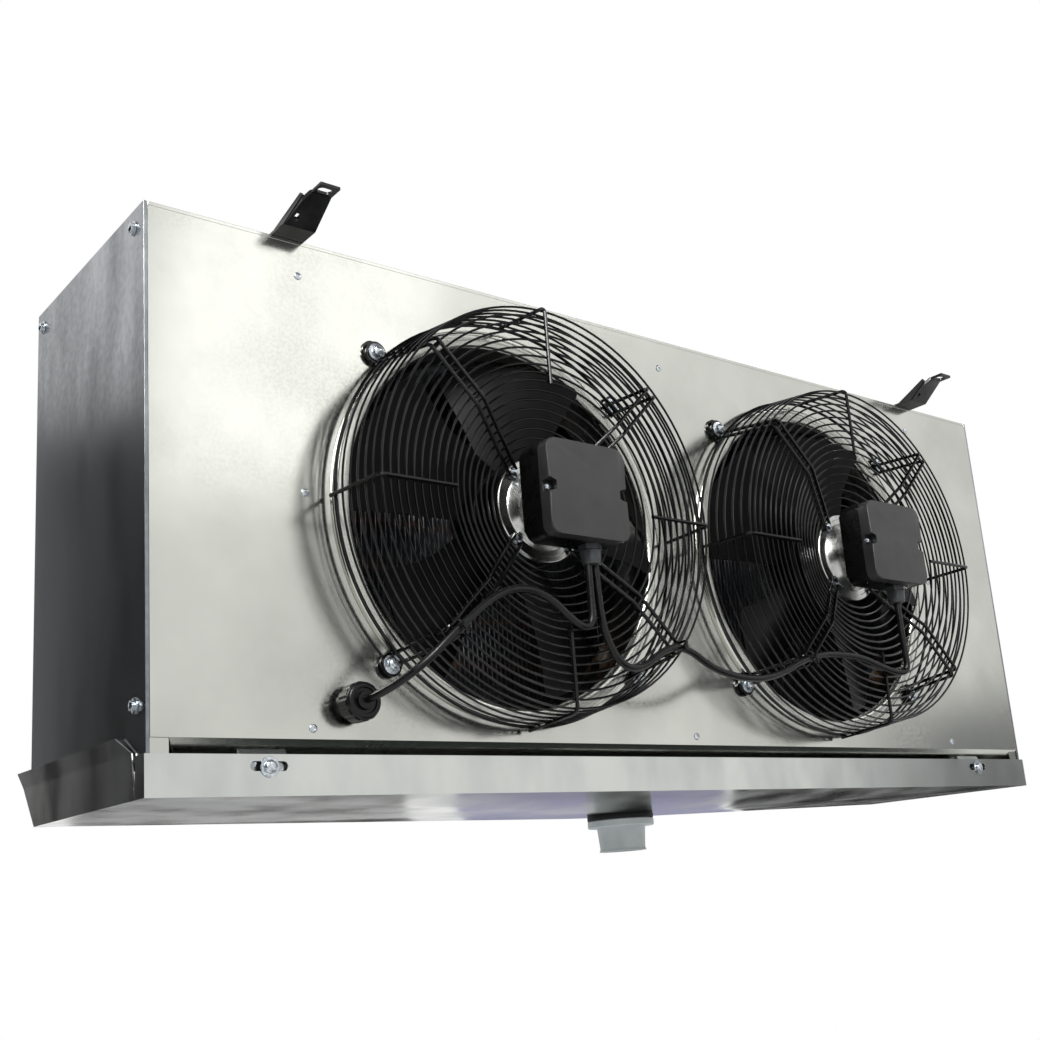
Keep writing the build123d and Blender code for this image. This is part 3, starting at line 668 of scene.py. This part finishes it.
def bell_mouth(side):
    """Collar rolled out of thin sheet: a round lip standing on the panel that turns into the throat."""
    wall = 1.4
    lip = arc((throat_radius + 11, -3.5), 9.5, 180, 90, 9)
    outer = [(collar_radius - 6, 6)] + arc((collar_radius - 5, 0.9), 5.1, 90, 0, 7) + [(collar_radius, 0)]
    inner = [(collar_radius - wall, 0), (collar_radius - 6, 6 - wall)]
    back = [(r + wall * 0.7, z - wall) for r, z in reversed(lip)]
    profile = [(throat_radius, -42), (throat_radius, -6)] + lip + outer + inner + back
    profile += [(throat_radius + wall, -6), (throat_radius + wall, -42), (throat_radius, -42)]
    shape = bmesh.new()
    turned(shape, profile, 96)
    finished(shape, f"rolled_collar_{side}", on_fan[side], "casing", "bright_sheet",
             [f"bell_mouth_{side}"], sharp=50)


def motor(side):
    """Cast flange with its neck, and the black drum of the external rotor behind it."""
    flange = [
        (7.8, -15), (34, -15), (34, 45), (50, 45), (51, 46), (51, 49.2), (50.2, 50), (46, 50), (45.4, 49.5),
        (40.5, 49.5), (39.5, 50.2), (38, 52.5), (35, 56), (32, 63), (30.5, 71), (30, 80), (7.8, 80), (7.8, -15),
    ]
    shape = bmesh.new()
    turned(shape, flange, 64)
    finished(shape, f"motor_flange_{side}", on_fan[side], "casing", "cast_alloy", [f"motor_stator_{side}"])
    drum = [
        (0, -34), (41.5, -34), (43.5, -33.2), (48.6, -28.8), (49.5, -27), (49.5, 41), (48.6, 42), (45, 42),
        (44.2, 41), (44.2, -24), (0, -24),
    ]
    shape = bmesh.new()
    turned(shape, drum, 56)
    body = f"{side}_fan"
    finished(shape, f"rotor_drum_{side}", on_fan[side], body, "black_paint", [f"motor_rotor_{side}"])
    spots = [(sx * 32, sy * 32, 49.8) for sx in (-1, 1) for sy in (-1, 1)]
    set_fasteners(f"motor_flange_screws_{side}", hex_bolt(8, 4.2, 5.4, 1.3), spots, (0, 0, 1), on_fan[side],
                  "casing", "zinc", [f"motor_screws_{side}"])


blade_pitch = math.radians(-24)
blade_plane, blade_arch, half_chord = -10, 12.6, 105
tip_start, tip_run = 160.5, 14


def along(points, at):
    """The value at a place on a broken line of (place, value)."""
    for (a, low), (b, high) in zip(points, points[1:]):
        if at <= b:
            return low + (high - low) * (at - a) / (b - a)
    return points[-1][1]


def blade_point(radius, part):
    """A point of the blade's middle surface: part runs from the leading edge, 0, to the trailing edge, 1."""
    first = along([(50, -24), (112, -23), (150, -32), (175, -43)], radius)
    last = along([(50, 29), (110, 60), (175, 96)], radius)
    reach = max(0, (radius - tip_start) / tip_run)
    rounding = 1 - math.sqrt(max(0, 1 - min(reach, 1) ** 2))
    first, last = first + 9 * rounding, last - 14 * rounding
    y = first + (last - first) * part
    chord = y / math.cos(blade_pitch)
    camber = blade_arch * (1 - (chord / half_chord) ** 2)
    z = blade_plane + chord * math.sin(blade_pitch) + camber * math.cos(blade_pitch)
    return Vector((math.sqrt(radius ** 2 - y ** 2), y, z))


def blade_model():
    """One swept, arched blade of 2.2 mm sheet."""
    radii = [50 + 124.4 * (1 - (1 - i / 16) ** 1.4) for i in range(17)]
    shape = bmesh.new()
    skins = []
    steps = 14
    for offset in (1.1, -1.1):
        rows = []
        for r in radii:
            line = [blade_point(r, j / steps) + Vector((0, 0, offset)) for j in range(steps + 1)]
            rows.append([shape.verts.new(point) for point in line])
        for a, b in zip(rows, rows[1:]):
            for i in range(steps):
                shape.faces.new((a[i], b[i], b[i + 1], a[i + 1]))
        rim = rows[0] + [row[-1] for row in rows[1:]] + rows[-1][-2::-1] + [row[0] for row in rows[-2:0:-1]]
        skins.append(rim)
    front, back = skins
    for i in range(len(front)):
        j = (i + 1) % len(front)
        shape.faces.new((front[i], front[j], back[j], back[i]))
    return as_model(shape)


def impeller(side):
    """Five blades on a band that grips the drum."""
    values = {"Count": 5, "Piece": blade_model(), "Finish": finishes["black_paint"]}
    blades = grown(spokes, values)
    band = bmesh.new()
    profile = [(49.7, -26), (52.2, -26), (53, -25.2), (53, 13.2), (52.2, 14), (49.7, 14), (49.7, -26)]
    turned(band, profile, 56)
    bmesh.ops.recalc_face_normals(band, faces=band.faces)
    finished(joined([blades, as_mesh(band)]), f"impeller_blades_{side}", on_fan[side], f"{side}_fan",
             "black_paint", [f"impeller_{side}"], sharp=50, clean=False)


# ---- junction boxes ----------------------------------------------------------
box_width, box_height, box_back, lid_back, lid_front = 94, 90, 80, 107, 120
gland_offset, gland_depth = 16.5, 96


def bevel_rim(shape, height, width, steps=4):
    """Rounds the edges of a flat face's outline at a height."""
    rim = [e for e in shape.edges if all(abs(v.co.z - height) < 1e-4 for v in e.verts)]
    bmesh.ops.bevel(shape, geom=rim, offset=width, segments=steps, profile=0.5, affect="EDGES")


def junction_box(side):
    """Moulded box on the motor's neck with a shallow lid; two stepped notches hold the lid's screws."""
    body = bmesh.new()
    pressed(body, rounded_box(box_width, box_height, 10), box_back, lid_back - 0.5)
    bevel_rim(body, box_back, 3)
    pressed(body, rounded_box(box_width - 3, box_height - 3, 9), lid_back - 0.5, lid_back)
    finished(body, f"terminal_box_{side}", on_fan[side], "casing", "black_plastic", [f"junction_box_{side}"])
    lid = bmesh.new()
    pressed(lid, rounded_box(box_width, box_height, 10), lid_back, lid_back + 3)
    corners = rounded_box(box_width, box_height, 10)
    top_corners = len(corners) // 2
    edge, deep, half = box_width / 2, 36.5, 5.5
    right = [(edge, -half), (deep, -half), (deep, half), (edge, half)]
    left = [(-x, -y) for x, y in right]
    notched = right + corners[:top_corners] + left + corners[top_corners:]
    upper = bmesh.new()
    pressed(upper, notched, lid_back + 3, lid_front)
    bevel_rim(upper, lid_front, 1.5)
    lid.from_mesh(as_mesh(upper))
    finished(lid, f"box_lid_{side}", on_fan[side], "casing", "lid_plastic", [f"junction_lid_{side}"],
             sharp=16)
    screw = bmesh.new()
    turned(screw, [(0, 0), (3.8, 0), (3.8, 1.6), (3.2, 2.5), (2, 2.9), (0, 3)], 20)
    spots = [(side_x * 41, 0, lid_back + 3) for side_x in (-1, 1)]
    set_fasteners(f"box_lid_screws_{side}", as_model(screw), spots, (0, 0, 1), on_fan[side], "casing",
                  "zinc", [f"lid_screws_{side}"])


def box_gland(side):
    """Grey gland in the underside of the box: hexagon body and round cap over the seal."""
    down = Matrix.Translation((gland_offset, -38, gland_depth)) @ Matrix.Rotation(math.radians(90), 4, "X")
    shape = bmesh.new()
    turned(shape, [(0, 0), (8, 0), (8, 7), (0, 7)], 24, down)
    pressed(shape, polygon(11, 6, math.radians(30)), 7, 12, down)
    cap = [(9.8, 12.5), (9.6, 20), (9.2, 23.5), (8.4, 25.4), (6.5, 26), (0, 26), (0, 12.5), (9.8, 12.5)]
    turned(shape, cap, 24, down)
    finished(shape, f"cable_gland_{side}", on_fan[side], "casing", "gland_plastic", [f"box_gland_{side}"])


def panel_gland():
    """Black gland through the front panel: narrow base, ribbed barrel nut and a dished seal, all in the one black
    plastic.
    """
    out = Matrix.Translation((183, 0, 30)) @ Matrix.Rotation(math.radians(90), 4, "X")
    shape = bmesh.new()
    turned(shape, [(10, -14), (10, 0), (13, 0), (13, 8.2), (0, 8.2), (0, -14), (10, -14)], 32, out)
    ribbed = [(r * math.cos(a), r * math.sin(a)) for a, r in
              ((2 * math.pi * i / 72, 17.2 if i % 6 < 4 else 16.3) for i in range(72))]
    pressed(shape, ribbed, 8, 20.5, out)
    rim = arc((13.2, 21.5), 3.4, -20, 90, 6)
    seal = [(11.6, 24.9), (11, 23.4), (8.2, 23.2), (7.4, 25.8), (4, 26.4), (0, 26.4)]
    turned(shape, [(0, 20.4), (16.4, 20.4)] + rim + seal, 48, out)
    finished(shape, "supply_gland", on_casing, "casing", "black_plastic", ["panel_gland"], sharp=30)


def cable_tie(side, angle, radius):
    """Nylon strap round the spoke wires and the cable, with its lock and cut tail."""
    turn = Matrix.Rotation(math.radians(angle), 4, "Z") @ Matrix.Translation((radius, 0, 83.3))
    face = turn @ Matrix(((0, 0, 1, 0), (1, 0, 0, 0), (0, 1, 0, 0), (0, 0, 0, 1)))
    shape = bmesh.new()
    outer, inner = rounded_box(19.2, 15.2, 5), rounded_box(17.4, 13.4, 4.2)
    loops = []
    for outline, low in ((outer, -1.3), (outer, 1.3), (inner, 1.3), (inner, -1.3)):
        loops.append([shape.verts.new(face @ Vector((x, y, low))) for x, y in outline])
    for a, b in zip(loops, loops[1:] + loops[:1]):
        for i in range(len(outer)):
            j = (i + 1) % len(outer)
            shape.faces.new((a[i], a[j], b[j], b[i]))
    pressed(shape, [(-2.4, 7.2), (2.4, 7.2), (2.4, 10.4), (-2.4, 10.4)], -2.2, 2.2, face)
    shape.transform(on_casing.inverted() @ on_fan[side])
    return shape


def cable_ties():
    shape = bmesh.new()
    for side, angle, radius in (("left", 225, 182), ("left", 315, 186.6), ("right", 225, 186.6)):
        shape.from_mesh(as_mesh(cable_tie(side, angle, radius)))
    soften(finished(shape, "cable_tie_straps", on_casing, "casing", "black_plastic", ["cable_ties"]), 0.25)


for side in ("left", "right"):
    guard_rings(side)
    guard_braces(side)
    guard_bolts(side)
    bell_mouth(side)
    motor(side)
    impeller(side)
    junction_box(side)
    box_gland(side)
panel_gland()
cable_ties()


# ---- casing ------------------------------------------------------------------
def lean_web(hanger):
    """The web beside a hanger's ramp leans with the ramp's narrowing edge."""
    web_edge, ramp_start, ramp_run, lean = 13.5, 22, 18, 10
    near = (on_casing.inverted() @ hanger.data.vertices[0].co).x
    middle = min(hanger_places, key=lambda x: abs(x - near))
    for vertex in hanger.data.vertices:
        x, y = (on_casing.inverted() @ vertex.co).xy
        reach = -min(y, casing_depth - y)
        if x - middle < -web_edge and reach > ramp_start:
            vertex.co.x += lean / 1000 * min(1, (reach - ramp_start) / ramp_run)


def fold_plates():
    """Returns of the end sheets that show bright in the slot between the panel and the pan."""
    shape = bmesh.new()
    for x in (3.6, casing_length - 19.4):
        pressed(shape, [(x, 1.5), (x + 15.8, 1.5), (x + 15.8, 2.7), (x, 2.7)], -12.5, -0.2)
    finished(shape, "end_fold_returns", on_casing, "casing", "bright_sheet")


def sheets():
    """The folded sheets keep their shape and get rounded edges."""
    widths = {
        "front_panel": 0.5, "top_cover": 0.5, "side_panel_left": 0.5, "side_panel_right": 0.5, "drain_pan": 0.5,
        "middle_baffle": 0.4, "coil_end_plate_left": 0.4, "coil_end_plate_right": 0.4, "pan_catches": 0.5,
        "pan_hinge_brackets": 0.5, "hanger_front_left": 0.7, "hanger_front_right": 0.7,
        "hanger_rear_left": 0.7, "hanger_rear_right": 0.7,
    }
    bodies = frame["record"]["behaviour"]["bodies"]
    for node, width in widths.items():
        body = next(name for name, nodes in bodies.items() if node in nodes)
        slot = frame["nodes"][node].data.materials[0].name.split(".")[0]
        finish = "pan_sheet" if node == "drain_pan" else slot
        sheet = from_node(node, node + "_sheet", body, finish, width)
        if node.startswith("hanger"):
            lean_web(sheet)


def casing_screws():
    flanged = hex_bolt(8, 4.2, 6.5, 1.4)
    left = [(0, y, z) for y, z in ((20, 27), (20, 440), (249, 440))]
    right = [(casing_length - x, y, z) for x, y, z in left]
    set_fasteners("side_screw_heads", flanged, None, {(-1, 0, 0): left, (1, 0, 0): right}, on_casing,
                  "casing", "zinc", ["side_panel_screws"])
    stout = hex_bolt(10, 5, 7, 1.4)
    spots = [(x, y, cover_height + 3) for x in hanger_places
             for y in (14, 34, casing_depth - 14, casing_depth - 34)]
    set_fasteners("hanger_screw_heads", stout, spots, (0, 0, 1), on_casing, "casing", "zinc", ["hanger_screws"])


def rivet_heads():
    """Blind rivets: a low dome with the broken pin sunk in its middle."""
    shape = bmesh.new()
    turned(shape, [(0, 0), (3.7, 0), (3.5, 0.8), (2.6, 1.3), (1.3, 1.3), (1.1, 0.6), (0, 0.6)], 20)
    spots = [(x, 0, z) for x in (146, 600, 1054) for z in (9, 423)] + [(146, 0, 216), (1054, 0, 216)]
    set_fasteners("rivet_heads", as_model(shape), spots, (0, -1, 0), on_casing, "casing", "zinc",
                  ["panel_rivets"])


def pan_screw_heads():
    """Domed pan heads on wide washers, each with its shank and a nut behind the pan's strip."""
    shape = bmesh.new()
    turned(shape, [(0, 0), (8.3, 0), (8.5, 0.3), (8.5, 1.3), (8.2, 1.6), (0, 1.6)], 28)
    turned(shape, [(5.7, 1.6), (5.7, 2.8), (5.1, 4), (3.6, 4.9), (0, 5.1)], 24)
    turned(shape, [(0, 0), (3, 0), (3, -15), (0, -15)], 14)
    pressed(shape, polygon(5.8, 6), -14, -10)
    model = as_model(shape)
    spots = [(x, -3, -23.5) for x in (103, casing_length - 103)]
    set_fasteners("pan_screw_heads", model, spots, (0, -1, 0), on_casing, "pan", "zinc", ["pan_screws"])


def drain():
    """Grey moulded spout on a black gasket, with its nut inside the pan."""
    place = on_casing @ Matrix.Translation((600, 130, 0))
    spout = [
        (22, -99.5), (25.6, -99.5), (26, -99), (25.2, -97.8), (24.8, -96), (26.4, -76), (27, -74),
        (35.6, -73.4), (36.5, -72.4), (36.5, -66.5), (35.5, -65.6), (25, -65.5), (25, -50.5), (22, -50.5),
        (22, -99.5),
    ]
    shape = bmesh.new()
    turned(shape, spout, 56)
    finished(shape, "spout_moulding", place, "pan", "grey_plastic", ["drain_spout"])
    ring = [(26.5, -65.5), (36, -65.5), (36.5, -64.6), (36.5, -61), (35.8, -60), (26.5, -60), (26.5, -65.5)]
    shape = bmesh.new()
    turned(shape, ring, 56)
    finished(shape, "spout_gasket", place, "pan", "black_rubber", ["drain_gasket"])


def coil():
    """Fins 6 mm apart with the tubes running through them, as both air faces show."""
    low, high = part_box("fin_block")
    low, high = on_casing.inverted() @ low, on_casing.inverted() @ high
    pitch = 6.0
    count = int((high.x - low.x) // pitch)
    start = (low.x + (high.x - low.x - (count - 1) * pitch) / 2, (low.y + high.y) / 2, (low.z + high.z) / 2)
    values = {
        "Count": count, "Pitch": pitch, "Start": start, "Plate Size": (0.5, high.y - low.y, high.z - low.z),
        "Finish": finishes["fin_aluminium"],
    }
    finished(grown(stack, values), "coil_fins", on_casing, "casing", "fin_aluminium", ["fin_block"])
    row_pitch, tube_pitch, past_fins = 36, 50, 14
    rows = [low.y + 22 + row_pitch * i for i in range(3)]
    heights = [low.z + 34 + tube_pitch * i for i in range(8)]
    lines = [[(low.x - past_fins, y, z), (high.x + past_fins, y, z)] for y in rows for z in heights]
    tubes = wire_mesh(lines, 1, 8, "copper", 14)
    finished(tubes, "coil_tubes", on_casing, "casing", "copper")


def dress_rest():
    """CAD nodes whose shape is right as it stands get their finish."""
    for node in frame["nodes"].values():
        slot = node.data.materials[0].name.split(".")[0]
        node.data.materials.clear()
        node.data.materials.append(finishes[slot])
        node.data.shade_smooth()
        node.data.set_sharp_from_angle(angle=math.radians(31))


sheets()
fold_plates()
casing_screws()
rivet_heads()
pan_screw_heads()
drain()
coil()
dress_rest()


# ---- studio ------------------------------------------------------------------
def seen_by(tree, *kinds):
    """1 for the rays of those kinds and 0 for all others."""
    rays = add(tree, "ShaderNodeLightPath").outputs
    seen = rays[kinds[0]]
    for kind in kinds[1:]:
        seen = add(tree, "ShaderNodeMath", {0: seen, 1: rays[kind]}, operation="MAXIMUM").outputs[0]
    return seen


def studio_white(name, colour):
    """A floor that the camera and mirrors see as white, and that still takes light and shadow."""
    material, tree = bare_material(name)
    matt = add(tree, "ShaderNodeBsdfDiffuse", {"Color": linear(colour)})
    glow = add(tree, "ShaderNodeEmission", {"Color": (1, 1, 1, 1), "Strength": 1.0})
    seen = seen_by(tree, "Is Camera Ray", "Is Glossy Ray")
    share = add(tree, "ShaderNodeMath", {0: seen, 1: 0.995}, operation="MULTIPLY")
    mix = add(tree, "ShaderNodeMixShader", {0: share.outputs[0], 1: matt.outputs[0], 2: glow.outputs[0]})
    add(tree, "ShaderNodeOutputMaterial", {"Surface": mix.outputs[0]})
    return material


def rectangle(name, width, height, material):
    """A flat sheet round the origin, facing up."""
    mesh = bpy.data.meshes.new(name)
    w, h = width / 2, height / 2
    mesh.from_pydata([(-w, -h, 0), (w, -h, 0), (w, h, 0), (-w, h, 0)], [], [(0, 1, 2, 3)])
    mesh.materials.append(material)
    sheet = bpy.data.objects.new(name, mesh)
    scene.collection.objects.link(sheet)
    return sheet


def board(name, centre, normal, width, height, colour, glow=0):
    """A board, dark or glowing, out of the camera's sight, that bright metal mirrors."""
    material, tree = bare_material(name)
    if glow:
        face = add(tree, "ShaderNodeEmission", {"Color": linear(colour), "Strength": glow})
    else:
        face = add(tree, "ShaderNodeBsdfDiffuse", {"Color": linear(colour)})
    add(tree, "ShaderNodeOutputMaterial", {"Surface": face.outputs[0]})
    panel = rectangle(name, width, height, material)
    turn = Vector(normal).to_track_quat("Z", "Y").to_matrix().to_4x4()
    panel.matrix_world = Matrix.Translation(centre) @ turn
    panel.visible_camera = False
    panel.visible_diffuse = False
    panel.visible_shadow = False


def floor():
    plane = rectangle("studio_floor", 28, 28, studio_white("pale_studio_floor", "#EDEDED"))
    plane.location = (0, 0, -1.4)


def lamp(name, place, aim, width, height, power):
    light = bpy.data.lights.new(name, "AREA")
    light.shape = "RECTANGLE"
    light.size, light.size_y, light.energy = width, height, power
    lit = bpy.data.objects.new(name, light)
    turn = (Vector(aim) - Vector(place)).to_track_quat("-Z", "Y").to_matrix().to_4x4()
    lit.matrix_world = Matrix.Translation(place) @ turn
    scene.collection.objects.link(lit)


def surroundings():
    """White for the camera, mirrors and glass; a plainer level for the light on the object."""
    world = bpy.data.worlds.new("studio")
    world.use_nodes = True
    tree = world.node_tree
    tree.nodes.clear()
    seen = seen_by(tree, "Is Camera Ray", "Is Glossy Ray", "Is Transmission Ray")
    level = add(tree, "ShaderNodeMapRange", {"Value": seen, "To Min": 0.6, "To Max": 1.0})
    sky = add(tree, "ShaderNodeBackground", {"Color": (1, 1, 1, 1), "Strength": level.outputs[0]})
    add(tree, "ShaderNodeOutputWorld", {"Surface": sky.outputs[0]})
    scene.world = world


floor()
surroundings()
lamp("key_softbox", (-1.9, -2.5, 1.5), (0, 0, -0.3), 1.4, 1.2, 40)
lamp("fill_softbox", (2.6, -2.2, 2.4), (0, 0, -0.3), 1.6, 1.2, 20)
# the end panel falls from light at its top to near black below
board("left_board", (-3.0, 2.6, 0.1), (1, -0.5, 0), 5.0, 2.95, "#060607")
# the wires and boxes go dark beside their thin highlights
board("front_left_board", (-3.2, -1.6, 0.2), (1, 0.45, 0), 2.6, 3.0, "#1A1B1C")
board("left_strip", (-1.7, -2.2, 1.5), (0.55, 0.75, -0.5), 0.3, 1.5, "#FFFFFF", glow=60)
# the glare on the front panel's upper left
board("white_board", (0.95, -2.6, 1.2), (-0.35, 1, -0.5), 0.9, 1.1, "#FFFFFF", glow=1.9)
# the front panel and the pan's strip grow darker towards the right end
board("right_grey_board", (4.6, -2.3, -0.7), (-1, 0.5, 0), 1.7, 1.6, "#95979A")
# the undersides of the collars and wires are dark
board("ceiling_board", (0.0, -1.8, 2.2), (0, 0, -1), 6.0, 2.4, "#1C1D1E")
# the bent lip under the front panel is dark grey
board("floor_board", (1.0, -0.95, -1.38), (0, 0, 1), 2.2, 1.0, "#3A3E3D")
# bands of dark grey, pale lavender and black along the pan's underside, from left to right
board("low_grey_board", (1.3, 3.6, -0.8), (-0.45, -0.89, 0), 1.3, 0.9, "#121216")
board("lavender_board", (2.25, 2.62, -0.85), (-0.65, -0.76, 0), 1.0, 1.05, "#BDBCDE")
board("low_dark_board", (3.35, 1.98, -0.85), (-0.85, -0.52, 0), 1.4, 1.05, "#0A0B0D")
